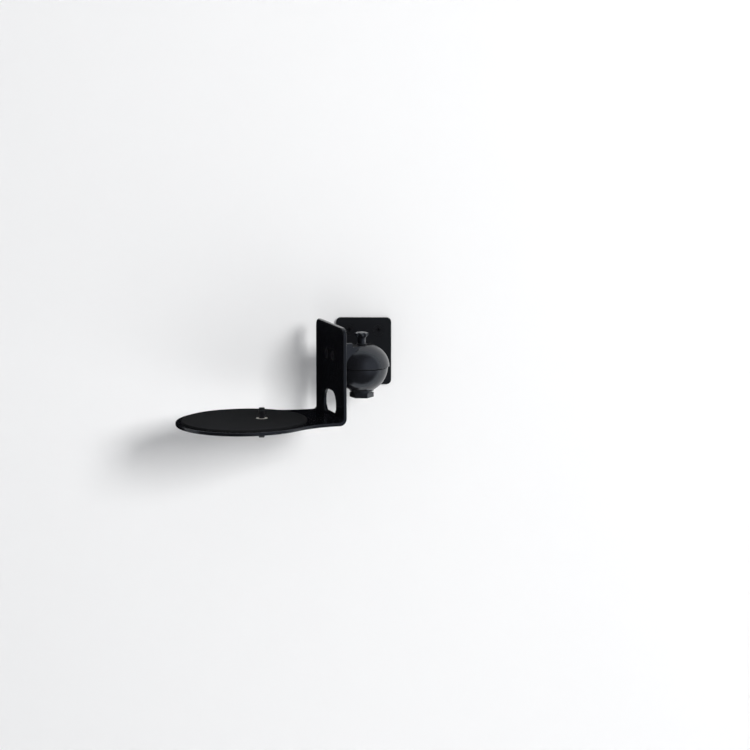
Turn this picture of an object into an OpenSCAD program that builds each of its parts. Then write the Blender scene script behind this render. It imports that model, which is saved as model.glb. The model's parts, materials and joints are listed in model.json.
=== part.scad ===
// Swivelling wall bracket for a small upright speaker.
// The speaker stands on a round platform folded from the same sheet as its upright. A clamped
// two-shell knuckle turns the upright about a vertical screw, and a clevis on the wall plate
// lets the knuckle tilt. Millimetres. The origin is the centre of the wall plate's back face,
// +Y points into the wall and +Z is up. The head is drawn pointing straight out of the wall,
// along -Y, and then swivelled.

/* [Wall plate] */
// Width of the wall plate
plate_w = 49; // [46:1:80]
// Height of the wall plate
plate_h = 60; // [56:1:90]
// Thickness of the wall plate
plate_t = 3; // [3:0.5:5]
// Radius of the wall plate's corners
plate_corner_r = 4.3; // [1:0.1:5]
// Distance between the wall screws, across
screw_span_x = 26; // [25:0.5:32]
// Distance between the wall screws, up and down
screw_span_z = 37.5; // [36:0.5:42]

/* [Wall screws] */
// Diameter of the wall screws' shanks
wall_screw_d = 4.8; // [4:0.1:5]
// Diameter of the wall screws' heads
wall_screw_head_d = 9.6; // [8:0.1:10]
// Length of the wall screws
wall_screw_len = 38; // [25:1:60]
// Length of the wall screws' points
wall_screw_tip = 6; // [3:0.5:8]
// Height of the straight rim on every countersunk head
head_rim = 0.3; // [0.2:0.1:0.5]

/* [Tilt clevis] */
// Distance from the wall to the tilt axis
tilt_out = 14; // [14:0.5:16]
// Distance of the tilt axis below the knuckle's centre
tilt_drop = 8; // [8:0.5:9]
// Radius of the tongue's eye
tongue_r = 7; // [6:0.1:7]
// Thickness of the tongue
tongue_t = 8; // [6:0.5:8]
// Thickness of each clevis ear
ear_t = 3; // [2:0.5:3]
// Radius of the ears' ends
ear_r = 7.5; // [7:0.1:7.5]
// Thickness of the clevis base
clevis_base_t = 2.5; // [2:0.1:2.5]
// Diameter of the tilt bolt
tilt_bolt_d = 6; // [5:0.5:6]
// Diameter of the tilt bolt's head
tilt_head_d = 10; // [9:0.5:11]
// Height of the tilt bolt's head
tilt_head_h = 5; // [4:0.5:6]
// Width of the tilt bolt's socket across its flats
tilt_socket_af = 5; // [4:0.5:6]
// How far the tilt bolt stands out of its nut
tilt_bolt_tail = 1; // [0.5:0.5:2]
// Width of the tilt nut across its flats
tilt_nut_af = 10; // [9:0.5:11]
// Height of the tilt nut
tilt_nut_h = 6; // [5:0.5:7]
// Thickness of the tilt washers
tilt_washer_t = 1; // [0.8:0.1:1.5]
// Diameter of the tilt washers
tilt_washer_d = 12; // [11:0.5:13]
// Diameter of the rivets that hold the clevis to the plate
rivet_d = 4; // [3:0.5:4]
// Diameter of the rivets' heads
rivet_head_d = 7; // [6:0.5:7]
// Distance between the two rivets
rivet_span = 9; // [8:0.5:10]

/* [Knuckle] */
// Distance from the wall to the knuckle's centre
knuckle_out = 50; // [50:0.5:56]
// Distance of the knuckle's centre below the plate's centre
knuckle_drop = 6.5; // [5:0.1:8]
// Radius of the upper shell
upper_r = 24.2; // [24:0.1:25]
// Height of the oval that the upper shell is cut from
dome_h = 21.5; // [21:0.1:24]
// Height of the upper shell's flat top above the seam's middle
shell_top = 19.4; // [19:0.1:20]
// Radius of the lower shell
lower_r = 22.8; // [22.5:0.1:24]
// Height of the gap between the two shells
seam = 0.8; // [0.6:0.1:1.2]
// Thickness of the shells' walls
shell_wall = 3; // [2.5:0.1:3.2]
// Radius of the bosses inside the shells
boss_r = 8.5; // [8:0.1:9]
// Inner radius of the shells' friction flanges
flange_r = 16.5; // [16:0.1:16.5]
// Inner radius of the friction ring
ring_in_r = 17; // [16.8:0.1:17.5]
// Outer radius of the friction ring
ring_out_r = 20.8; // [19.5:0.1:21]
// Thickness of the friction ring
ring_t = 2.2; // [2:0.1:3]
// Outer diameter of the swivel sleeve
sleeve_d = 12; // [11:0.1:12]
// Length of the swivel sleeve
sleeve_len = 16; // [14:0.5:16]
// Free room above the swivel sleeve
sleeve_room = 1; // [0.5:0.5:2]
// Thickness between the swivel sleeve and the clamp nut
nut_roof_t = 4; // [3:0.1:4]
// Thickness under the pocket of the lower shell
pocket_floor_t = 1.5; // [1:0.1:2]
// Distance from the seam's middle to the flat bottom of the lower shell
collar_drop = 21; // [20.8:0.1:21.5]
// Radius of the collar at the bottom of the lower shell
collar_r = 10.7; // [10.5:0.1:11]

/* [Clamp] */
// Diameter of the clamp screw's thread
clamp_d = 6; // [5:0.5:6]
// Diameter of the clamp screw's neck
neck_d = 7.2; // [6.5:0.1:7.5]
// Height of the neck above its washer
neck_h = 4.8; // [4:0.1:8]
// Diameter of the thumb head
thumb_d = 12; // [10:0.5:16]
// Height of the thumb head's cone
thumb_cone_h = 3; // [2:0.5:5]
// Height of the thumb head's rim
thumb_rim_h = 1.3; // [0.8:0.1:2]
// Height of the thumb head's crown
thumb_crown_h = 1.3; // [0.5:0.1:2]
// Number of scallops round the thumb head
thumb_lobes = 8; // [6:1:10]
// Radius of each scallop
scallop_r = 1.7; // [1:0.1:2]
// How far the scallops' centres lie outside the thumb head
scallop_out = 0.7; // [0.5:0.1:1.2]
// Chamfer at the end of the clamp screw
clamp_chamfer = 0.8; // [0.5:0.1:1]
// How far the clamp screw stands out of its nut
clamp_tip_out = 1.5; // [0.5:0.1:1.5]
// Diameter of the washer under the neck
thumb_washer_d = 8.8; // [8.5:0.1:11]
// Thickness of the washer under the neck
thumb_washer_t = 0.8; // [0.6:0.1:1.5]
// Width of the clamp nut across its flats
clamp_nut_af = 10; // [9:0.5:10.5]
// Height of the clamp nut
clamp_nut_h = 5; // [4:0.5:5]
// Width of the end cap across its flats
cap_af = 18.5; // [18:0.1:19]
// Height of the end cap's hexagon
cap_h = 4.2; // [2:0.1:5]
// Height of the groove above the end cap's hexagon
cap_groove_h = 1.6; // [0.8:0.1:2.2]
// Radius of the groove above the end cap's hexagon
cap_groove_r = 8.9; // [8.5:0.1:9.2]
// Radius of the plug on the end cap
cap_plug_r = 8.5; // [8:0.1:8.8]
// Length of the plug on the end cap
cap_plug_h = 3; // [2:0.1:3]
// Clearance round the clamp screw's end in the end cap
cap_room = 1; // [0.5:0.1:1.5]

/* [Arm block] */
// Distance from the swivel axis to the upright
face_out = 26.5; // [25.5:0.1:30]
// Half the width of the arm block
block_half_w = 14; // [13:0.1:16]
// Top of the arm block above the seam's middle
block_top = 22.9; // [21:0.1:23.6]
// Bottom of the arm block above the seam's middle
block_bottom = 3; // [2:0.1:4]
// Radius along the arm block's long edges
block_edge_r = 2; // [1:0.1:3]
// Where the arm block starts to narrow towards the screw
block_taper_out = 10; // [9:0.5:12]
// Thickness of the cheeks that stand along the arm block's top
cheek_t = 3; // [2.5:0.1:4]
// Distance from the swivel axis to the cheeks
cheek_out = 13; // [12:0.5:15]
// Distance between the screws in the arm block
arm_screw_span = 16; // [14:0.5:18]
// Height of the arm block's screws above the seam's middle
arm_screw_z = 12; // [10:0.5:14]
// Diameter of the arm block's screws
arm_screw_d = 5; // [4:0.5:5]
// Diameter of the heads of the arm block's screws
arm_screw_head_d = 9.2; // [8:0.1:9.6]
// Length of the arm block's screws
arm_screw_len = 12; // [10:1:13]
// Length of the points of the arm block's screws
arm_screw_tip = 1; // [0.5:0.5:2]
// Free room past the ends of the arm block's screws
arm_screw_room = 1; // [0.5:0.5:2]

/* [Upright and platform] */
// Thickness of the sheet
sheet_t = 3; // [3:0.5:4]
// Inner radius of the fold
fold_r = 3; // [2:0.5:4]
// Width of the upright
upright_w = 75; // [70:1:90]
// Top of the upright above the seam's middle
upright_top = 39.4; // [38:0.2:60]
// Underside of the platform below the seam's middle
platform_drop = 44.6; // [43.6:0.2:55]
// Radius of the upright's top corners
upright_corner_r = 7; // [3:0.5:12]
// Width of the cable window
window_w = 33; // [26:0.5:36]
// Top of the cable window below the seam's middle
window_top_drop = 18.8; // [17:0.1:20]
// Height of the cable window
window_h = 16; // [14:0.1:17]
// Radius of the cable window's top corners
window_top_r = 11; // [4:0.5:12]
// Radius of the cable window's bottom corners
window_bottom_r = 1.5; // [0.5:0.1:3]
// Radius of the platform's round end
disc_r = 57; // [54:0.5:70]
// Distance from the swivel axis to the middle of the platform's round end
disc_out = 108.6; // [107:0.1:130]
// Length of the platform's straight sides
disc_straight = 4; // [2:1:12]
// Radius of the hollow corners between the platform's neck and its round end
neck_fillet_r = 70; // [40:1:75]
// Margin of bare sheet round the pad
pad_margin = 5; // [3:0.5:10]
// Thickness of the pad
pad_t = 1.5; // [1.5:0.1:3]
// Distance from the middle of the round end to the speaker screw
mount_back = 17.6; // [0:0.1:30]

/* [Speaker screw] */
// Diameter of the speaker screw's thread
mount_d = 6.35; // [5:0.05:8]
// Length of the thread above the pad
mount_len = 9; // [6:0.5:14]
// Chamfer at the end of the thread
mount_chamfer = 0.8; // [0.4:0.1:1.2]
// Diameter of the neck that turns in the platform
mount_neck_d = 5; // [4:0.1:5.2]
// Diameter of the flange under the platform
mount_flange_d = 12; // [10:0.5:16]
// Thickness of the flange under the platform
mount_flange_t = 2; // [1.5:0.1:3]
// Width of the spade grip
spade_w = 16; // [12:0.5:20]
// Thickness of the spade grip
spade_t = 4.6; // [3:0.1:6]
// Height of the spade grip
spade_h = 10; // [7:0.1:14]
// Angle at which the tightened spade grip has stopped
spade_turn = 68.5; // [0:0.5:90]
// Diameter of the retaining washer
retainer_d = 10; // [9:0.5:12]

/* [Pose and fits] */
// Angle of the head to the left of straight out
swivel = 68.5; // [-60:0.5:75]
// Clearance between turning pieces of one shaft
run_gap = 0.05; // [0.02:0.01:0.08]
// Clearance between pieces seated in each other
seat_gap = 0.1; // [0.05:0.01:0.2]
// Clearance round a screw in its hole
hole_gap = 0.3; // [0.2:0.05:0.4]
// Clearance each side of the tongue
tongue_gap = 0.3; // [0.2:0.05:0.4]

/* [Hidden] */
$fn = 96;

// A little more than nothing, so that a cut runs past the face it starts from
over = 1;
// Steps from the rim to the top of an oval
oval_steps = 30;
// Corner radius of a hexagon for each millimetre across its flats
hex_r = 0.5 / cos(30);
// How far a hollow corner cuts into what it touches, so that they cross and don't just meet
fillet_bite = 0.05;

// The wall screws' cones end at the wall, so their heads lie a little under the plate's face
wall_screw_sunk = plate_t - head_rim - (wall_screw_head_d - wall_screw_d)/2;
clevis_half_w = tongue_t/2 + tongue_gap + ear_t;
clevis_front = plate_t + clevis_base_t;
bolt_reach = clevis_half_w + tilt_washer_t;
ring_floor = ring_t - seam/2;
nut_seat_drop = sleeve_len/2 + nut_roof_t;
nut_pocket_drop = collar_drop - cap_plug_h - 2*seat_gap;
clamp_tip_drop = nut_seat_drop + clamp_nut_h + clamp_tip_out;
platform_top = -platform_drop + sheet_t;
upright_in = face_out + sheet_t;
fold_out = upright_in + fold_r;
disc_back = disc_out - disc_straight;
fillet_x = upright_w/2 + neck_fillet_r;
fillet_out = disc_back - sqrt(pow(disc_r + neck_fillet_r, 2) - pow(fillet_x, 2));
mount_out = disc_out - mount_back;

// Places

module at_knuckle() {
    translate([0, -knuckle_out, -knuckle_drop])
    children();
}

module at_head() {
    at_knuckle()
    rotate([0, 0, -swivel])
    children();
}

module at_tilt() {
    translate([0, -tilt_out, -knuckle_drop - tilt_drop])
    children();
}

module at_speaker_screw() {
    at_head()
    translate([0, -mount_out, 0])
    children();
}

module each_wall_screw() {
    for (x = [-1, 1], z = [-1, 1])
        translate([x*screw_span_x/2, 0, z*screw_span_z/2])
        children();
}

module each_arm_screw() {
    for (x = [-1, 1])
        translate([x*arm_screw_span/2, 0, arm_screw_z])
        children();
}

// Shapes that repeat

module rounded_rect(w, h, r) {
    square([w - 2*r, h], center = true);
    square([w, h - 2*r], center = true);
    for (x = [-1, 1], y = [-1, 1])
        translate([x*(w/2 - r), y*(h/2 - r)])
        circle(r = r);
}

// A sheet that stands in the XZ plane, from y = 0 towards -Y
module upright_sheet(t) {
    rotate([90, 0, 0])
    linear_extrude(t)
    children();
}

// A ring between two heights
module tube(r_out, r_in, z_low, z_high) {
    translate([0, 0, z_low])
    difference() {
        cylinder(r = r_out, h = z_high - z_low);
        translate([0, 0, -over])
        cylinder(r = r_in, h = z_high - z_low + 2*over);
    }
}

// Half an oval turned about Z: round in plan, and h high in the middle
module half_oval(r, h) {
    rotate_extrude()
    polygon([
        [0, 0],
        for (i = [0:oval_steps])
            [r*cos(90*i/oval_steps), h*sin(90*i/oval_steps)]
    ]);
}

module hexagon(af, h) {
    cylinder(r = af*hex_r, h = h, $fn = 6);
}

// A cross recess that starts at z = 0 and narrows upwards
module cross_recess(w, depth) {
    slot = w/4.5;
    intersection() {
        translate([0, 0, -over])
        linear_extrude(depth + over) {
            square([w, slot], center = true);
            square([slot, w], center = true);
        }
        translate([0, 0, -depth])
        cylinder(r1 = w, r2 = slot/2, h = 2*depth);
    }
}

// A countersunk screw whose head face is at z = 0 and whose shank points along +Z
module flat_head_screw(d, head_d, length, tip) {
    cone_h = (head_d - d)/2;
    difference() {
        union() {
            cylinder(d = head_d, h = head_rim);
            translate([0, 0, head_rim])
            cylinder(d1 = head_d, d2 = d, h = cone_h);
            cylinder(d = d, h = length - tip);
            translate([0, 0, length - tip])
            cylinder(d1 = d, d2 = d/5, h = tip);
        }
        cross_recess(head_d/2, cone_h);
    }
}

// The hole that a countersunk screw seats in, from z = 0 along +Z, sunk that far under the face
module flat_head_hole(d, head_d, depth, sunk) {
    cone_h = (head_d - d)/2;
    rim = head_rim + seat_gap;
    translate([0, 0, -sunk - over])
    cylinder(d = head_d + 2*seat_gap, h = sunk + over + rim);
    translate([0, 0, rim])
    cylinder(d1 = head_d + 2*seat_gap, d2 = d + 2*seat_gap, h = cone_h);
    translate([0, 0, -over])
    cylinder(d = d + 2*hole_gap, h = depth + over);
}

// The wall side

module wall_plate() {
    color("#1d1e20")
    difference() {
        upright_sheet(plate_t)
        rounded_rect(plate_w, plate_h, plate_corner_r);
        each_wall_screw()
        translate([0, -plate_t + wall_screw_sunk, 0])
        rotate([-90, 0, 0])
        flat_head_hole(wall_screw_d, wall_screw_head_d, plate_t + over, wall_screw_sunk);
        clevis_rivet_shape(seat_gap);
    }
}

module wall_screws() {
    color("#26272a")
    each_wall_screw()
    translate([0, -plate_t + wall_screw_sunk, 0])
    rotate([-90, 0, 0])
    flat_head_screw(wall_screw_d, wall_screw_head_d, wall_screw_len, wall_screw_tip);
}

// Two flush rivets with countersunk heads on the wall side
module clevis_rivet_shape(gap) {
    at_tilt()
    for (z = [-1, 1])
        translate([0, tilt_out, z*rivet_span/2])
        rotate([90, 0, 0]) {
            cylinder(d = rivet_d + 2*gap, h = clevis_front);
            cylinder(d1 = rivet_head_d + 2*gap, d2 = rivet_d + 2*gap, h = plate_t/2);
        }
}

module clevis_rivets() {
    color("#3a3b3e")
    clevis_rivet_shape(0);
}

// A channel folded from sheet, with round-ended ears
module wall_clevis() {
    color("#1d1e20")
    difference() {
        at_tilt()
        difference() {
            union() {
                rotate([0, 90, 0])
                cylinder(r = ear_r, h = 2*clevis_half_w, center = true);
                translate([-clevis_half_w, 0, -ear_r])
                cube([2*clevis_half_w, tilt_out - plate_t, 2*ear_r]);
            }
            translate([-tongue_t/2 - tongue_gap, -ear_r - over, -ear_r - over])
            cube([tongue_t + 2*tongue_gap, tilt_out - clevis_front + ear_r + over,
                2*ear_r + 2*over]);
            rotate([0, 90, 0])
            cylinder(d = tilt_bolt_d + 2*seat_gap, h = 2*clevis_half_w + 2*over, center = true);
        }
        clevis_rivet_shape(seat_gap);
    }
}

// A socket-head bolt from the right-hand side
module tilt_bolt() {
    color("#2c2d30")
    at_tilt()
    difference() {
        rotate([0, 90, 0]) {
            translate([0, 0, -bolt_reach - tilt_nut_h - tilt_bolt_tail])
            cylinder(d = tilt_bolt_d, h = 2*bolt_reach + tilt_nut_h + tilt_bolt_tail + tilt_head_h/2);
            translate([0, 0, bolt_reach])
            cylinder(d = tilt_head_d, h = tilt_head_h);
        }
        translate([bolt_reach + tilt_head_h/2, 0, 0])
        rotate([0, 90, 0])
        hexagon(tilt_socket_af, tilt_head_h);
    }
}

module tilt_nut() {
    color("#2c2d30")
    at_tilt()
    rotate([0, -90, 0])
    translate([0, 0, bolt_reach])
    difference() {
        hexagon(tilt_nut_af, tilt_nut_h);
        translate([0, 0, -over])
        cylinder(d = tilt_bolt_d + 2*run_gap, h = tilt_nut_h + 2*over);
    }
}

module tilt_washers() {
    color("#55565a")
    at_tilt()
    for (side = [0, 1])
        mirror([side, 0, 0])
        rotate([0, 90, 0])
        tube(tilt_washer_d/2, tilt_bolt_d/2 + hole_gap, clevis_half_w, bolt_reach);
}

// The knuckle's lower half

module lower_shell() {
    color("#202124")
    difference() {
        union() {
            at_knuckle() {
                intersection() {
                    sphere(r = lower_r, $fn = 160);
                    translate([0, 0, -collar_drop])
                    cylinder(r = lower_r + over, h = collar_drop - seam/2);
                }
                translate([0, 0, -collar_drop])
                cylinder(r = collar_r, h = collar_drop/2);
            }
            tongue();
        }
        at_knuckle()
        lower_bores();
        at_tilt()
        rotate([0, 90, 0])
        cylinder(d = tilt_bolt_d + 2*run_gap, h = tongue_t + 2*over, center = true);
    }
}

// The tongue runs from the eye into the lower shell
module tongue() {
    at_tilt()
    union() {
        rotate([0, 90, 0])
        cylinder(r = tongue_r, h = tongue_t, center = true);
        translate([-tongue_t/2, -(knuckle_out - tilt_out) + flange_r + over, -tongue_r])
        cube([tongue_t, knuckle_out - tilt_out - flange_r - over, 2*tongue_r]);
    }
}

module lower_bores() {
    // pocket between the boss and the friction flange
    intersection() {
        sphere(r = lower_r - shell_wall, $fn = 160);
        tube(flange_r, boss_r, -nut_pocket_drop + pocket_floor_t, over);
    }
    // seat of the friction ring
    tube(ring_out_r + seat_gap, ring_in_r - seat_gap, -ring_floor, over);
    // seat of the sleeve
    translate([0, 0, -sleeve_len/2])
    cylinder(d = sleeve_d + 2*seat_gap, h = sleeve_len);
    // way through for the clamp screw
    translate([0, 0, -collar_drop - over])
    cylinder(d = clamp_d + 2*hole_gap, h = collar_drop + over);
    // hexagonal pocket that keeps the nut from turning
    translate([0, 0, -nut_pocket_drop - over])
    hexagon(clamp_nut_af + 2*seat_gap, nut_pocket_drop - nut_seat_drop + over);
    // seat of the end cap's plug
    translate([0, 0, -collar_drop - over])
    cylinder(r = cap_plug_r + seat_gap, h = collar_drop - nut_pocket_drop + over);
}

module swivel_sleeve() {
    color("#b08d4f")
    at_knuckle()
    tube(sleeve_d/2, clamp_d/2 + hole_gap, -sleeve_len/2, sleeve_len/2);
}

module friction_ring() {
    color("#3b332c")
    at_knuckle()
    tube(ring_out_r, ring_in_r, -ring_floor, seam/2);
}

module clamp_nut() {
    color("#8d8f92")
    at_knuckle()
    translate([0, 0, -nut_seat_drop - clamp_nut_h])
    difference() {
        hexagon(clamp_nut_af, clamp_nut_h);
        translate([0, 0, -over])
        cylinder(d = clamp_d + 2*run_gap, h = clamp_nut_h + 2*over);
    }
}

// A hexagonal cap that closes the nut pocket
module end_cap() {
    color("#26272a")
    at_knuckle()
    translate([0, 0, -collar_drop - cap_groove_h])
    difference() {
        union() {
            translate([0, 0, -cap_h])
            hexagon(cap_af, cap_h);
            cylinder(r = cap_groove_r, h = cap_groove_h);
            cylinder(r = cap_plug_r, h = cap_groove_h + cap_plug_h);
        }
        // room for the clamp screw's end
        cylinder(d = clamp_d + 2*cap_room, h = cap_groove_h + cap_plug_h + over);
    }
}

// The clamp

module clamp_screw() {
    neck_z = shell_top + thumb_washer_t;
    cone_z = neck_z + neck_h;
    rim_z = cone_z + thumb_cone_h;
    top_z = rim_z + thumb_rim_h;
    color("#2b2c2f")
    at_knuckle()
    difference() {
        rotate_extrude()
        polygon([
            [0, -clamp_tip_drop],
            [clamp_d/2 - clamp_chamfer, -clamp_tip_drop],
            [clamp_d/2, -clamp_tip_drop + clamp_chamfer],
            [clamp_d/2, neck_z],
            [neck_d/2, neck_z],
            [neck_d/2, cone_z],
            [thumb_d/2, rim_z],
            [thumb_d/2, top_z],
            [thumb_d/3, top_z + 0.7*thumb_crown_h],
            [0, top_z + thumb_crown_h]
        ]);
        for (lobe = [0:thumb_lobes - 1])
            rotate([0, 0, (lobe + 0.5)*360/thumb_lobes])
            translate([thumb_d/2 + scallop_out, 0, cone_z])
            cylinder(r = scallop_r, h = thumb_cone_h + thumb_rim_h + thumb_crown_h + over);
    }
}

module thumb_washer() {
    color("#17181a")
    at_head()
    tube(thumb_washer_d/2, clamp_d/2 + run_gap, shell_top, shell_top + thumb_washer_t);
}

// The head

module upper_shell() {
    color("#202124")
    at_head()
    difference() {
        union() {
            intersection() {
                half_oval(upper_r, dome_h);
                translate([0, 0, seam/2])
                cylinder(r = upper_r + over, h = shell_top - seam/2);
            }
            arm_block();
        }
        upper_bores();
        each_arm_screw()
        translate([0, -upright_in, 0])
        rotate([-90, 0, 0])
        cylinder(d = arm_screw_d + 2*seat_gap, h = arm_screw_len + arm_screw_room);
    }
}

// The block that carries the upright: a rounded bar that narrows over the knuckle. Two cheeks
// stand along its top, and between them it is level with the top of the shell.
module arm_block() {
    h = block_top - block_bottom;
    inner_w = block_half_w - cheek_t;
    difference() {
        arm_bar(h);
        translate([-inner_w, -face_out - over, shell_top])
        cube([2*inner_w, face_out + 2*over, h]);
        translate([-block_half_w - over, -cheek_out, shell_top])
        cube([2*block_half_w + 2*over, cheek_out + over, h]);
    }
}

module arm_bar(h) {
    intersection() {
        rotate([90, 0, 0])
        linear_extrude(face_out)
        translate([0, (block_top + block_bottom)/2])
        rounded_rect(2*block_half_w, h, block_edge_r);
        translate([0, 0, block_bottom])
        linear_extrude(h)
        polygon([
            [-boss_r, 0],
            [-block_half_w, -block_taper_out],
            [-block_half_w, -face_out],
            [block_half_w, -face_out],
            [block_half_w, -block_taper_out],
            [boss_r, 0]
        ]);
    }
}

module upper_bores() {
    // pocket between the boss and the friction flange
    intersection() {
        translate([0, 0, -over])
        half_oval(upper_r - shell_wall, dome_h - shell_wall + over);
        tube(flange_r, boss_r, -over, shell_top - shell_wall);
    }
    // running seat of the sleeve
    cylinder(d = sleeve_d + 2*run_gap, h = sleeve_len/2 + sleeve_room);
    // way through for the clamp screw
    cylinder(d = clamp_d + 2*hole_gap, h = upper_r + over);
}

module arm_screws() {
    color("#2c2d30")
    at_head()
    each_arm_screw()
    translate([0, -upright_in, 0])
    rotate([-90, 0, 0])
    flat_head_screw(arm_screw_d, arm_screw_head_d, arm_screw_len, arm_screw_tip);
}

// One sheet: the upright, the fold and the platform
module bracket() {
    color("#101113")
    at_head()
    difference() {
        union() {
            translate([0, -face_out, 0])
            upright_sheet(sheet_t)
            upright_outline();
            fold();
            translate([0, 0, -platform_drop])
            linear_extrude(sheet_t)
            platform_outline();
        }
        translate([0, -mount_out, -platform_drop - over])
        cylinder(d = mount_d + 2*hole_gap, h = sheet_t + 2*over);
        each_arm_screw()
        translate([0, -upright_in, 0])
        rotate([-90, 0, 0])
        flat_head_hole(arm_screw_d, arm_screw_head_d, sheet_t + over, 0);
    }
}

module upright_outline() {
    bottom = -platform_drop + sheet_t + fold_r;
    difference() {
        union() {
            translate([-upright_w/2, bottom])
            square([upright_w, upright_top - upright_corner_r - bottom]);
            translate([0, upright_top/2])
            rounded_rect(upright_w, upright_top, upright_corner_r);
        }
        translate([0, -window_top_drop - window_h])
        window_outline();
    }
}

// A window with large top corners, standing on y = 0
module window_outline() {
    half = window_w/2;
    translate([-half, window_bottom_r])
    square([window_w, window_h - window_top_r - window_bottom_r]);
    translate([-half + window_top_r, window_bottom_r])
    square([window_w - 2*window_top_r, window_h - window_bottom_r]);
    translate([-half + window_bottom_r, 0])
    square([window_w - 2*window_bottom_r, window_h/2]);
    for (x = [-1, 1]) {
        translate([x*(half - window_top_r), window_h - window_top_r])
        circle(r = window_top_r);
        translate([x*(half - window_bottom_r), window_bottom_r])
        circle(r = window_bottom_r);
    }
}

// A quarter of a tube joins the upright to the platform
module fold() {
    size = fold_r + sheet_t;
    translate([0, -fold_out, -platform_drop + size])
    intersection() {
        rotate([0, 90, 0])
        difference() {
            cylinder(r = size, h = upright_w, center = true);
            cylinder(r = fold_r, h = upright_w + over, center = true);
        }
        translate([-upright_w/2, 0, -size])
        cube([upright_w, size, size]);
    }
}

// A neck that opens through hollow corners into a slightly long round end
module platform_outline() {
    difference() {
        union() {
            translate([-upright_w/2, -disc_back])
            square([upright_w, disc_back - fold_out]);
            polygon([[-fillet_x, -fillet_out], [fillet_x, -fillet_out], [0, -disc_back]]);
            long_disc(disc_r);
        }
        for (x = [-1, 1])
            translate([x*fillet_x, -fillet_out])
            circle(r = neck_fillet_r + fillet_bite);
    }
}

module long_disc(r) {
    for (y = [-disc_back, -disc_out])
        translate([0, y])
        circle(r = r);
    translate([-r, -disc_out])
    square([2*r, disc_straight]);
}

module platform_pad() {
    color("#2a2b2d")
    at_head()
    difference() {
        translate([0, 0, platform_top])
        linear_extrude(pad_t)
        long_disc(disc_r - pad_margin);
        translate([0, -mount_out, platform_top - over])
        cylinder(d = retainer_d + 2*hole_gap, h = pad_t + 2*over);
    }
}

// The speaker screw

// A spade-headed screw that hangs in the platform by its retaining washer
module speaker_screw() {
    thread_z = platform_top + pad_t;
    flange_z = -platform_drop - mount_flange_t;
    color("#2c2d30")
    at_speaker_screw()
    union() {
        translate([0, 0, flange_z])
        cylinder(d = mount_neck_d, h = thread_z - flange_z + over);
        translate([0, 0, thread_z])
        cylinder(d = mount_d, h = mount_len - mount_chamfer);
        translate([0, 0, thread_z + mount_len - mount_chamfer])
        cylinder(d1 = mount_d, d2 = mount_d - 2*mount_chamfer, h = mount_chamfer);
        translate([0, 0, flange_z])
        cylinder(d = mount_flange_d, h = mount_flange_t);
        rotate([0, 0, spade_turn])
        spade(flange_z);
    }
}

// The flat grip, with its lower corners rounded
module spade(top_z) {
    corner = spade_w/3;
    translate([-spade_t/2, 0, top_z - spade_h])
    rotate([90, 0, 90])
    linear_extrude(spade_t)
    union() {
        translate([-spade_w/2, corner])
        square([spade_w, spade_h - corner]);
        translate([-spade_w/2 + corner, 0])
        square([spade_w - 2*corner, spade_h]);
        for (x = [-1, 1])
            translate([x*(spade_w/2 - corner), corner])
            circle(r = corner);
    }
}

module screw_retainer() {
    color("#d8d5cc")
    at_speaker_screw()
    tube(retainer_d/2, mount_neck_d/2 + seat_gap, platform_top, platform_top + pad_t);
}

wall_plate();
wall_screws();
wall_clevis();
clevis_rivets();
tilt_bolt();
tilt_nut();
tilt_washers();
lower_shell();
swivel_sleeve();
friction_ring();
clamp_nut();
end_cap();
clamp_screw();
thumb_washer();
upper_shell();
arm_screws();
bracket();
platform_pad();
speaker_screw();
screw_retainer();
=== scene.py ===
import json
import math
from collections import namedtuple

import bmesh
import bpy
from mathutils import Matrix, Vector


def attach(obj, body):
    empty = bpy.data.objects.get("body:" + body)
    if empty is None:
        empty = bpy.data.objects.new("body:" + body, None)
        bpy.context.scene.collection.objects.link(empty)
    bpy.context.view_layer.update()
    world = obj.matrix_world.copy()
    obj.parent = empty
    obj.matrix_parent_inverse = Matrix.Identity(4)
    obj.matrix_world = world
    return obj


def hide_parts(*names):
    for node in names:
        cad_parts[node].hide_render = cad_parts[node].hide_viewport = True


# Looks of a swivelling wall bracket: camera, stage, lamps, finishes, rounded edges and threads.
# Metres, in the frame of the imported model: the wall is the plane y = 0 and +Z is up.

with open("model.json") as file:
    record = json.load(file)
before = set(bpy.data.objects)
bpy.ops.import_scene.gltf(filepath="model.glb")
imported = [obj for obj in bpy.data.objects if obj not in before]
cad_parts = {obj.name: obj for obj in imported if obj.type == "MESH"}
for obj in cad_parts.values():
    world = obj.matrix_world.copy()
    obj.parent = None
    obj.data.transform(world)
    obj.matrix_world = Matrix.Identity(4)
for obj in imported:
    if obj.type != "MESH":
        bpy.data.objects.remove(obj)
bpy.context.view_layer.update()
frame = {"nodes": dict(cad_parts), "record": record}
nodes = frame["nodes"]
record = frame["record"]

MM = 0.001

BODY_OF = {
    node: body
    for body, members in record["behaviour"]["bodies"].items()
    for node in members
}
SLOT_OF = {part["node"]: part["material_slot"] for part in record["subparts"]}

# Camera: nearly square to the wall, from above and a little to the right. Angles in degrees
CAMERA_PLACE = (0.0725, -1.9866, 0.2994)
CAMERA_DOWN = 9.19
CAMERA_LEFT = 1.80
CAMERA_LENS = 108.2
CAMERA_SENSOR = 36.0
CAMERA_REACH = 60.0

# Stage: a wall just behind the part and a floor far below it
WALL_SIZE = 9.0
WALL_GAP = 0.0002
WALL_SHADE = (0.93, 0.93, 0.93)
# A shorter ray goes through the wall, so that light reaches the back of what hangs on it
WALL_NEAR = 4 * WALL_GAP
FLOOR_SIZE = 14.0
FLOOR_DROP = 0.9
FLOOR_SHADE = (0.92, 0.92, 0.92)
# The share of even white in the floor that the camera sees
FLOOR_GLOW = 0.75

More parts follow.
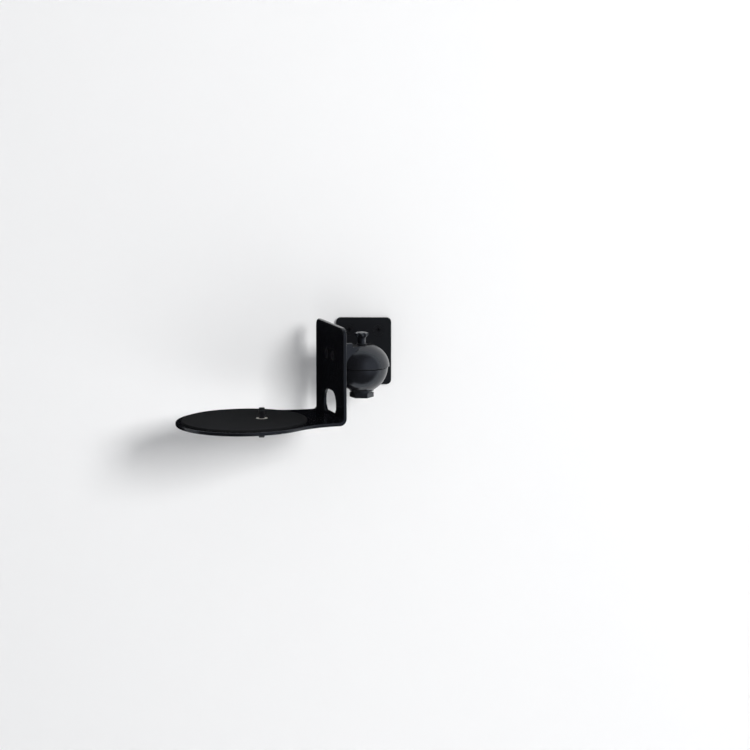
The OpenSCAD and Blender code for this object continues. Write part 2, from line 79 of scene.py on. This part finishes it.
# A black card that only gloss sees, where the photograph's speaker kept the wall out of the
# upright's and the platform's reflections
CARD_LEFT = -0.45
CARD_RIGHT = -0.024
CARD_BOTTOM = -0.30
CARD_TOP = 0.030
CARD_GAP = 0.0015
CARD_SHADE = (0.01, 0.01, 0.012)

# Lamps: name, place, size in metres, watts
LAMPS = [
    ("key", (1.35, -2.3, 0.85), 0.8, 54.0),
    ("fill", (-1.8, -2.2, 0.6), 1.6, 3.0),
]
LAMP_AIM = (-0.05, -0.05, -0.02)

# World: what diffuse surfaces receive and what the camera sees behind the object
WORLD_SOFT = (0.265, 0.27, 0.28)
WORLD_WHITE = (0.95, 0.95, 0.95)
# The studio that gloss sees is dark in front and white at the sides. The change between them
# runs over these values of the direction's Y
WORLD_FRONT = (0.070, 0.073, 0.084)
WORLD_SIDES = (0.93, 0.97, 1.0)
SIDES_START = -0.34
SIDES_FULL = -0.12
# A glow in its dark front, by the cosine of the angle from the glow's middle
WORLD_GLOW = (0.48, 0.51, 0.58)
GLOW_TOWARDS = (0.70, -0.68, 0.20)
GLOW_START = 0.60
GLOW_FULL = 1.0

# Finishes, by the record's slots. They share a slow drift and a fine grain
DRIFT_SCALE = 22.0
DRIFT_DETAIL = 3.0
GRAIN_DETAIL = 2.0
GRAIN_DEPTH = 0.1 * MM
LEAST_ROUGHNESS = 0.02
COOL_SHINE = (0.86, 0.92, 1.0, 1.0)
FINISH_VALUES = {
    "satin_black": dict(color=(0.0085, 0.0088, 0.0100), roughness=0.42, specular=0.35),
    "gloss_black": dict(color=(0.0038, 0.0040, 0.0054), roughness=0.18, specular=0.45,
                        bump=0.05, rough_spread=0.04),
    "shell_black": dict(color=(0.0085, 0.0088, 0.0105), roughness=0.20, specular=0.62,
                        grain=0.9, bump=0.12),
    "screw_black": dict(color=(0.0085, 0.0086, 0.0095), roughness=0.36, specular=0.4),
    "knob_black": dict(color=(0.0060, 0.0062, 0.0078), roughness=0.15, specular=0.8,
                       bump=0.05),
    "plated_steel": dict(color=(0.50, 0.50, 0.51), roughness=0.35, metallic=1.0, spread=0.08),
    "sleeve_bronze": dict(color=(0.45, 0.32, 0.16), roughness=0.35, metallic=1.0, spread=0.1),
    "ring_fibre": dict(color=(0.010, 0.009, 0.008), roughness=0.8, specular=0.2),
    "pad_rubber": dict(color=(0.0110, 0.0112, 0.0120), roughness=0.85, specular=0.12,
                       grain=0.7, bump=0.5),
    "retainer_nylon": dict(color=(0.55, 0.53, 0.48), roughness=0.45, spread=0.06),
}

# Copies of the CAD nodes, and their rounded edges
WELD = 1e-6
FLAT_ANGLE = math.radians(0.5)
EDGE_ANGLE = math.radians(35)
SHARP_ANGLE = math.radians(40)
ROUND_STEPS = 3
ROUND_PROFILE = 0.5

# The knuckle's centre, in metres, and the head's own directions
KNUCKLE = Vector((0, -0.050, -0.0065))
HEAD_TURN = math.radians(68.5)
HEAD_OUT = Vector((-math.sin(HEAD_TURN), -math.cos(HEAD_TURN), 0))
HEAD_ACROSS = Vector((math.cos(HEAD_TURN), -math.sin(HEAD_TURN), 0))

# Limits between the edges that are rounded and those that aren't, in mm: X and Z from the
# wall plate's centre, the others from the knuckle's centre, with AROUND from the swivel axis
PLATE_RIM_X = 18.2
PLATE_RIM_Z = 24.2
CLEVIS_EAR_X = 4.2
SEAM_UP = 1.5
LOWER_RIM_AROUND = 22.0
COLLAR_AROUND = 10.0
COLLAR_UP = -20.5
UPPER_RIM_AROUND = 23.0
DOME_BORE_AROUND = 5.0
DOME_TOP_UP = 18.5
CAP_UP = -23.2
THUMB_UP = 24.0
UPRIGHT_OUT = 31.0
ARM_SCREW_ACROSS = 8.0
ARM_SCREW_UP = 12.0
ARM_SCREW_CLEAR = 6.0
SPEAKER_HOLE_CLEAR = 5.0
PAD_TOP_UP = -40.5
PAD_HOLE_CLEAR = 7.0
SPADE_UP = -44.8
SPADE_ROUND = 0.4

# Threads: points in a turn, how deep the ridge's foot is sunk, its half width and the half
# width of its crest as shares of the pitch, and the turns over which it fades out
THREAD_STEPS = 24
THREAD_SUNK = 0.08
THREAD_HALF = 0.46
THREAD_FLAT = 0.06
THREAD_FADE = 0.5
THREAD_SLACK = 0.1

# The speaker screw, in mm: its distance from the swivel axis, the height of the pad's top in
# the wall's frame, and the thread, along the screw from there
SPEAKER_OUT = 91.0
SPEAKER_FOOT_Z = -46.6
SPEAKER_THREAD_R = 3.175
SPEAKER_ROOT_R = 2.62
SPEAKER_TIP_R = 2.7
SPEAKER_PITCH = 1.27
SPEAKER_THREAD_LOW = 0.8
SPEAKER_THREAD_HIGH = 8.0

# The wall screws, in mm: their places in the plate, and the thread, along the screw from
# the wall
WALL_SCREW_X = 13.0
WALL_SCREW_Z = 18.75
WALL_SCREW_R = 2.4
WALL_ROOT_R = 1.7
WALL_PITCH = 2.2
WALL_NECK_LENGTH = 1.0
WALL_ROOT_START = 9.0
WALL_THREAD_LEAD = 0.8
WALL_CONE_START = 29.3
WALL_CONE_LOSS = 0.78
WALL_BARE_TIP = 2.0
WALL_TIP = 35.3


def add_camera():
    data = bpy.data.cameras.new("camera")
    data.lens = CAMERA_LENS
    data.sensor_width = CAMERA_SENSOR
    data.sensor_fit = "HORIZONTAL"
    data.clip_end = CAMERA_REACH
    camera = bpy.data.objects.new("camera", data)
    camera.location = CAMERA_PLACE
    camera.rotation_euler = (
        math.radians(90.0 - CAMERA_DOWN), 0.0, math.radians(CAMERA_LEFT))
    bpy.context.scene.collection.objects.link(camera)
    bpy.context.scene.camera = camera


def link(tree, source, target):
    tree.links.new(source, target)


def add_node(tree, kind, values=None, **settings):
    """A node with these settings and, after them, these values of its unlinked sockets."""
    made = tree.nodes.new(kind)
    for key, value in settings.items():
        setattr(made, key, value)
    for key, value in (values or {}).items():
        made.inputs[key].default_value = value
    return made


def empty_tree(owner):
    owner.use_nodes = True
    owner.node_tree.nodes.clear()
    return owner.node_tree


def stage_material(name, shade, see_through=False, glow=0.0):
    """Plain paint. See-through paint lets rays pass from behind and from close by. glow is the
    share of even white that the camera sees."""
    material = bpy.data.materials.new(name)
    tree = empty_tree(material)
    path = add_node(tree, "ShaderNodeLightPath")
    if see_through:
        geometry = add_node(tree, "ShaderNodeNewGeometry")
        near = add_node(tree, "ShaderNodeMath", {1: WALL_NEAR}, operation="LESS_THAN")
        link(tree, path.outputs["Ray Length"], near.inputs[0])
        share = add_node(tree, "ShaderNodeMath", operation="MAXIMUM")
        link(tree, geometry.outputs["Backfacing"], share.inputs[0])
        link(tree, near.outputs[0], share.inputs[1])
        other = add_node(tree, "ShaderNodeBsdfTransparent")
    else:
        share = add_node(tree, "ShaderNodeMath", {1: glow}, operation="MULTIPLY")
        link(tree, path.outputs["Is Camera Ray"], share.inputs[0])
        other = add_node(tree, "ShaderNodeEmission", {"Color": (*shade, 1)})
    paint = add_node(tree, "ShaderNodeBsdfDiffuse", {"Color": (*shade, 1)})
    mix = add_node(tree, "ShaderNodeMixShader")
    link(tree, share.outputs[0], mix.inputs[0])
    link(tree, paint.outputs[0], mix.inputs[1])
    link(tree, other.outputs[0], mix.inputs[2])
    out = add_node(tree, "ShaderNodeOutputMaterial")
    link(tree, mix.outputs[0], out.inputs["Surface"])
    return material


def add_sheet(name, corners, material):
    mesh = bpy.data.meshes.new(name)
    mesh.from_pydata(corners, [], [(0, 1, 2, 3)])
    mesh.materials.append(material)
    obj = bpy.data.objects.new(name, mesh)
    bpy.context.scene.collection.objects.link(obj)
    return obj


def upright_corners(y, left, right, bottom, top):
    return [(left, y, bottom), (right, y, bottom), (right, y, top), (left, y, top)]


def add_stage():
    half = WALL_SIZE / 2
    low = -FLOOR_DROP
    add_sheet("wall", upright_corners(WALL_GAP, -half, half, low, low + WALL_SIZE),
              stage_material("wall_paint", WALL_SHADE, see_through=True))
    half = FLOOR_SIZE / 2
    floor = add_sheet("floor", [(-half, -half, low), (half, -half, low),
                                (half, half, low), (-half, half, low)],
                      stage_material("floor_paint", FLOOR_SHADE, glow=FLOOR_GLOW))
    # Gloss shows the world in the floor's place, and the front stays dark
    floor.visible_glossy = False
    card = add_sheet("card", upright_corners(-CARD_GAP, CARD_LEFT, CARD_RIGHT,
                                             CARD_BOTTOM, CARD_TOP),
                     stage_material("card_paint", CARD_SHADE))
    card.visible_camera = False
    card.visible_diffuse = False
    card.visible_transmission = False
    card.visible_shadow = False


def add_lamps():
    for name, place, size, watts in LAMPS:
        data = bpy.data.lights.new(name, "AREA")
        data.shape = "SQUARE"
        data.size = size
        data.energy = watts
        lamp = bpy.data.objects.new(name, data)
        lamp.location = place
        lamp.visible_glossy = False
        direction = Vector(LAMP_AIM) - Vector(place)
        lamp.rotation_euler = direction.to_track_quat("-Z", "Y").to_euler()
        bpy.context.scene.collection.objects.link(lamp)


def ramp(tree, source, low, high):
    """0 at low, 1 at high, smooth between."""
    made = add_node(tree, "ShaderNodeMapRange", {"From Min": low, "From Max": high},
                    interpolation_type="SMOOTHSTEP")
    link(tree, source, made.inputs["Value"])
    return made.outputs["Result"]


def blend(tree, share, first, second):
    """The first colour where the share is 0, and the second where it is 1. Each is a colour or
    the socket that gives it."""
    mix = add_node(tree, "ShaderNodeMix", data_type="RGBA")
    link(tree, share, mix.inputs["Factor"])
    for socket, color in (("A", first), ("B", second)):
        if isinstance(color, tuple):
            mix.inputs[socket].default_value = (*color, 1)
        else:
            link(tree, color, mix.inputs[socket])
    return mix.outputs["Result"]


def set_world():
    """Soft light, a studio that gloss sees, and white behind the object."""
    world = bpy.data.worlds.new("studio")
    bpy.context.scene.world = world
    tree = empty_tree(world)
    direction = add_node(tree, "ShaderNodeTexCoord").outputs["Generated"]
    split = add_node(tree, "ShaderNodeSeparateXYZ")
    link(tree, direction, split.inputs[0])
    beside = ramp(tree, split.outputs["Y"], SIDES_START, SIDES_FULL)
    towards = add_node(tree, "ShaderNodeVectorMath", {1: GLOW_TOWARDS},
                       operation="DOT_PRODUCT")
    link(tree, direction, towards.inputs[0])
    glow = ramp(tree, towards.outputs["Value"], GLOW_START, GLOW_FULL)
    front = blend(tree, glow, WORLD_FRONT, WORLD_GLOW)
    studio = blend(tree, beside, front, WORLD_SIDES)
    path = add_node(tree, "ShaderNodeLightPath")
    lit = blend(tree, path.outputs["Is Glossy Ray"], WORLD_SOFT, studio)
    seen = blend(tree, path.outputs["Is Camera Ray"], lit, WORLD_WHITE)
    shine = add_node(tree, "ShaderNodeBackground")
    link(tree, seen, shine.inputs["Color"])
    out = add_node(tree, "ShaderNodeOutputWorld")
    link(tree, shine.outputs[0], out.inputs["Surface"])


def finish(name, color, roughness, metallic=0.0, specular=0.5, spread=0.25, grain=2.2,
           bump=0.15, rough_spread=0.06):
    """Paint, plating or plastic: its colour and roughness drift a little, and it has a grain.

    spread and rough_spread are how far colour and roughness drift, grain is the size of the
    grain in millimetres, and bump is how much of it shows."""
    material = bpy.data.materials.new(name)
    tree = empty_tree(material)
    shader = add_node(tree, "ShaderNodeBsdfPrincipled",
                      {"Metallic": metallic, "Specular IOR Level": specular})
    if not metallic:
        shader.inputs["Specular Tint"].default_value = COOL_SHINE
    place = add_node(tree, "ShaderNodeTexCoord").outputs["Object"]
    drift = add_node(tree, "ShaderNodeTexNoise",
                     {"Scale": DRIFT_SCALE, "Detail": DRIFT_DETAIL})
    link(tree, place, drift.inputs["Vector"])
    darker = tuple(value * (1 - spread) for value in color)
    lighter = tuple(value * (1 + spread) for value in color)
    link(tree, blend(tree, drift.outputs[0], darker, lighter), shader.inputs["Base Color"])
    rough = add_node(tree, "ShaderNodeMapRange",
                     {"To Min": max(LEAST_ROUGHNESS, roughness - rough_spread),
                      "To Max": roughness + rough_spread})
    link(tree, drift.outputs[0], rough.inputs["Value"])
    link(tree, rough.outputs["Result"], shader.inputs["Roughness"])
    fine = add_node(tree, "ShaderNodeTexNoise",
                    {"Scale": 1.0 / (grain * MM), "Detail": GRAIN_DETAIL})
    link(tree, place, fine.inputs["Vector"])
    relief = add_node(tree, "ShaderNodeBump", {"Strength": bump, "Distance": GRAIN_DEPTH})
    link(tree, fine.outputs[0], relief.inputs["Height"])
    link(tree, relief.outputs[0], shader.inputs["Normal"])
    out = add_node(tree, "ShaderNodeOutputMaterial")
    link(tree, shader.outputs[0], out.inputs["Surface"])
    return material


def paint_nodes():
    for node, slot in SLOT_OF.items():
        obj = nodes[node]
        if not obj.material_slots:
            obj.data.materials.append(FINISHES[slot])
        for material_slot in obj.material_slots:
            material_slot.material = FINISHES[slot]


# Pieces that stand for CAD nodes: the same solids with rounded edges and real threads

def copy_of(node):
    """The node's shape as a bmesh, welded, with its flat faces whole and no stray faces."""
    source = nodes[node]
    bm = bmesh.new()
    verts = [bm.verts.new(source.matrix_world @ v.co) for v in source.data.vertices]
    for face in source.data.polygons:
        bm.faces.new([verts[i] for i in face.vertices])
    bmesh.ops.remove_doubles(bm, verts=bm.verts, dist=WELD)
    bmesh.ops.dissolve_limit(bm, angle_limit=FLAT_ANGLE, verts=bm.verts, edges=bm.edges)
    stray = [face for face in bm.faces
             if any(len(edge.link_faces) == 1 for edge in face.edges)]
    bmesh.ops.delete(bm, geom=stray, context="FACES")
    bm.normal_update()
    return bm


def add_piece(bm, node):
    """Turns a reworked copy of a CAD node into the piece that stands for it."""
    name = node + "_finished"
    mesh = bpy.data.meshes.new(name)
    bm.to_mesh(mesh)
    bm.free()
    mesh.materials.append(FINISHES[SLOT_OF[node]])
    mesh.shade_smooth()
    mesh.set_sharp_from_angle(angle=SHARP_ANGLE)
    piece = bpy.data.objects.new(name, mesh)
    bpy.context.scene.collection.objects.link(piece)
    shading = piece.modifiers.new("even_shading", "WEIGHTED_NORMAL")
    shading.keep_sharp = True
    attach(piece, BODY_OF[node])
    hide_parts(node)


# An edge's middle in mm: x and z in the wall's frame, then across, out and up from the
# knuckle's centre by the head's own directions, and the distance from the swivel axis
Spot = namedtuple("Spot", "x z across out up around")


def spot_of(edge):
    middle = (edge.verts[0].co + edge.verts[1].co) / 2
    rel = (middle - KNUCKLE) / MM
    across = rel.dot(HEAD_ACROSS)
    out = rel.dot(HEAD_OUT)
    return Spot(middle.x / MM, middle.z / MM, across, out, rel.z, math.hypot(across, out))


def round_edges(bm, radius, chosen):
    """Rounds the outward edges whose spots are chosen. The radius is in mm."""
    edges = [edge for edge in bm.edges
             if len(edge.link_faces) == 2
             and edge.calc_face_angle_signed() >= EDGE_ANGLE
             and chosen(spot_of(edge))]
    bmesh.ops.bevel(bm, geom=edges, offset=radius * MM, offset_type="OFFSET",
                    segments=ROUND_STEPS, profile=ROUND_PROFILE, affect="EDGES",
                    clamp_overlap=False)


def every_edge(spot):
    return True


def plate_edges(spot):
    return abs(spot.x) > PLATE_RIM_X or abs(spot.z) > PLATE_RIM_Z


def clevis_edges(spot):
    return abs(spot.x) > CLEVIS_EAR_X


def lower_shell_edges(spot):
    at_seam = spot.up > -SEAM_UP and spot.around > LOWER_RIM_AROUND
    at_collar = spot.up < COLLAR_UP and spot.around > COLLAR_AROUND
    return at_seam or at_collar


def upper_shell_edges(spot):
    at_seam = spot.up < SEAM_UP and spot.around > UPPER_RIM_AROUND
    on_top = spot.up > DOME_TOP_UP and spot.around > DOME_BORE_AROUND
    return at_seam or on_top


def cap_edges(spot):
    return spot.up < CAP_UP


def thumb_edges(spot):
    return spot.up > THUMB_UP


def bracket_edges(spot):
    by_arm_screw = (spot.out < UPRIGHT_OUT
                    and abs(abs(spot.across) - ARM_SCREW_ACROSS) < ARM_SCREW_CLEAR
                    and abs(spot.up - ARM_SCREW_UP) < ARM_SCREW_CLEAR)
    by_speaker_screw = (abs(spot.out - SPEAKER_OUT) < SPEAKER_HOLE_CLEAR
                        and abs(spot.across) < SPEAKER_HOLE_CLEAR)
    return not by_arm_screw and not by_speaker_screw


def pad_edges(spot):
    from_hole = math.hypot(spot.across, spot.out - SPEAKER_OUT)
    return spot.up > PAD_TOP_UP and from_hole > PAD_HOLE_CLEAR


def spade_edges(spot):
    return spot.up < SPADE_UP


# Node, radius in mm, and the edges that get it
ROUNDED = [
    ("wall_plate", 0.4, plate_edges),
    ("wall_clevis", 0.4, clevis_edges),
    ("tilt_bolt", 0.3, every_edge),
    ("tilt_nut", 0.35, every_edge),
    ("tilt_washers", 0.15, every_edge),
    ("lower_shell", 0.3, lower_shell_edges),
    ("end_cap", 0.5, cap_edges),
    ("clamp_screw", 0.2, thumb_edges),
    ("thumb_washer", 0.15, every_edge),
    ("upper_shell", 0.3, upper_shell_edges),
    ("bracket", 0.7, bracket_edges),
    ("platform_pad", 0.4, pad_edges),
]


def add_rounded_pieces():
    for node, radius, chosen in ROUNDED:
        bm = copy_of(node)
        round_edges(bm, radius, chosen)
        add_piece(bm, node)


def add_thread(bm, foot, axis, start, end, pitch, root, crest):
    """A helical ridge about an axis, in mm along it from its foot. root and crest give the
    radii at a distance along the axis. The ridge fades out at both ends."""
    side = axis.orthogonal().normalized()
    other = axis.cross(side)
    steps = round((end - start) / pitch * THREAD_STEPS)
    half = THREAD_HALF * pitch
    flat = THREAD_FLAT * pitch
    rows = []
    for i in range(steps + 1):
        along = start + (end - start) * i / steps
        turn = 2 * math.pi * i / THREAD_STEPS
        out = side * math.cos(turn) + other * math.sin(turn)
        turns_to_end = min(i, steps - i) / THREAD_STEPS
        grown = min(1.0, turns_to_end / THREAD_FADE)
        low = root(along) - THREAD_SUNK
        high = low + (crest(along) - low) * grown
        profile = [(low, -half), (high, -flat), (high, flat), (low, half)]
        rows.append([bm.verts.new(foot + (axis * (along + b) + out * r) * MM)
                     for r, b in profile])
    for row, after in zip(rows, rows[1:]):
        for j, corner in enumerate(row):
            k = (j + 1) % len(row)
            bm.faces.new([corner, row[k], after[k], after[j]])
    bm.faces.new(reversed(rows[0]))
    bm.faces.new(rows[-1])


def slim(bm, foot, axis, start, ratio, reach, core=0.0):
    """Draws the points past start towards the axis by a ratio, where they are nearer to it than
    reach and outside the core. Lengths in mm."""
    for vert in bm.verts:
        rel = vert.co - foot
        along = rel.dot(axis)
        off = rel - axis * along
        if along > start * MM and core * MM < off.length < reach * MM:
            vert.co = foot + axis * along + off * ratio


def add_speaker_screw():
    """Rounds the spade grip and cuts the thread above the pad: a quarter inch, twenty turns to
    the inch. The chamfered tip keeps its width."""
    bm = copy_of("speaker_screw")
    round_edges(bm, SPADE_ROUND, spade_edges)
    axis = Vector((0, 0, 1))
    foot = KNUCKLE + HEAD_OUT * SPEAKER_OUT * MM
    foot.z = SPEAKER_FOOT_Z * MM
    slim(bm, foot, axis, -THREAD_SLACK, SPEAKER_ROOT_R / SPEAKER_THREAD_R,
         SPEAKER_THREAD_R + THREAD_SLACK, SPEAKER_TIP_R)
    add_thread(bm, foot, axis, SPEAKER_THREAD_LOW, SPEAKER_THREAD_HIGH, SPEAKER_PITCH,
               lambda along: SPEAKER_ROOT_R, lambda along: SPEAKER_THREAD_R)
    add_piece(bm, "speaker_screw")


def wall_crest(along):
    """The wall screws' radius, which shrinks along the point."""
    share = (along - WALL_CONE_START) / (WALL_TIP - WALL_CONE_START)
    return WALL_SCREW_R * (1 - WALL_CONE_LOSS * min(max(share, 0.0), 1.0))


def wall_root(along):
    return wall_crest(along) * WALL_ROOT_R / WALL_SCREW_R


def add_wall_screws():
    """Wood screws: a plain shank, a short neck, then a coarse thread that runs out along the
    point."""
    bm = copy_of("wall_screws")
    axis = Vector((0, 1, 0))
    for cut in (WALL_ROOT_START - WALL_NECK_LENGTH, WALL_ROOT_START):
        whole = list(bm.verts) + list(bm.edges) + list(bm.faces)
        bmesh.ops.bisect_plane(bm, geom=whole, plane_co=axis * cut * MM, plane_no=axis)
    for x in (-WALL_SCREW_X, WALL_SCREW_X):
        for z in (-WALL_SCREW_Z, WALL_SCREW_Z):
            foot = Vector((x, 0, z)) * MM
            slim(bm, foot, axis, WALL_ROOT_START - THREAD_SLACK,
                 WALL_ROOT_R / WALL_SCREW_R, WALL_SCREW_R + THREAD_SLACK)
            add_thread(bm, foot, axis, WALL_ROOT_START + WALL_THREAD_LEAD,
                       WALL_TIP - WALL_BARE_TIP, WALL_PITCH, wall_root, wall_crest)
    add_piece(bm, "wall_screws")


FINISHES = {name: finish(name, **values) for name, values in FINISH_VALUES.items()}
add_camera()
add_stage()
add_lamps()
set_world()
paint_nodes()
add_rounded_pieces()
add_speaker_screw()
add_wall_screws()

bpy.context.scene.view_settings.view_transform = "Standard"
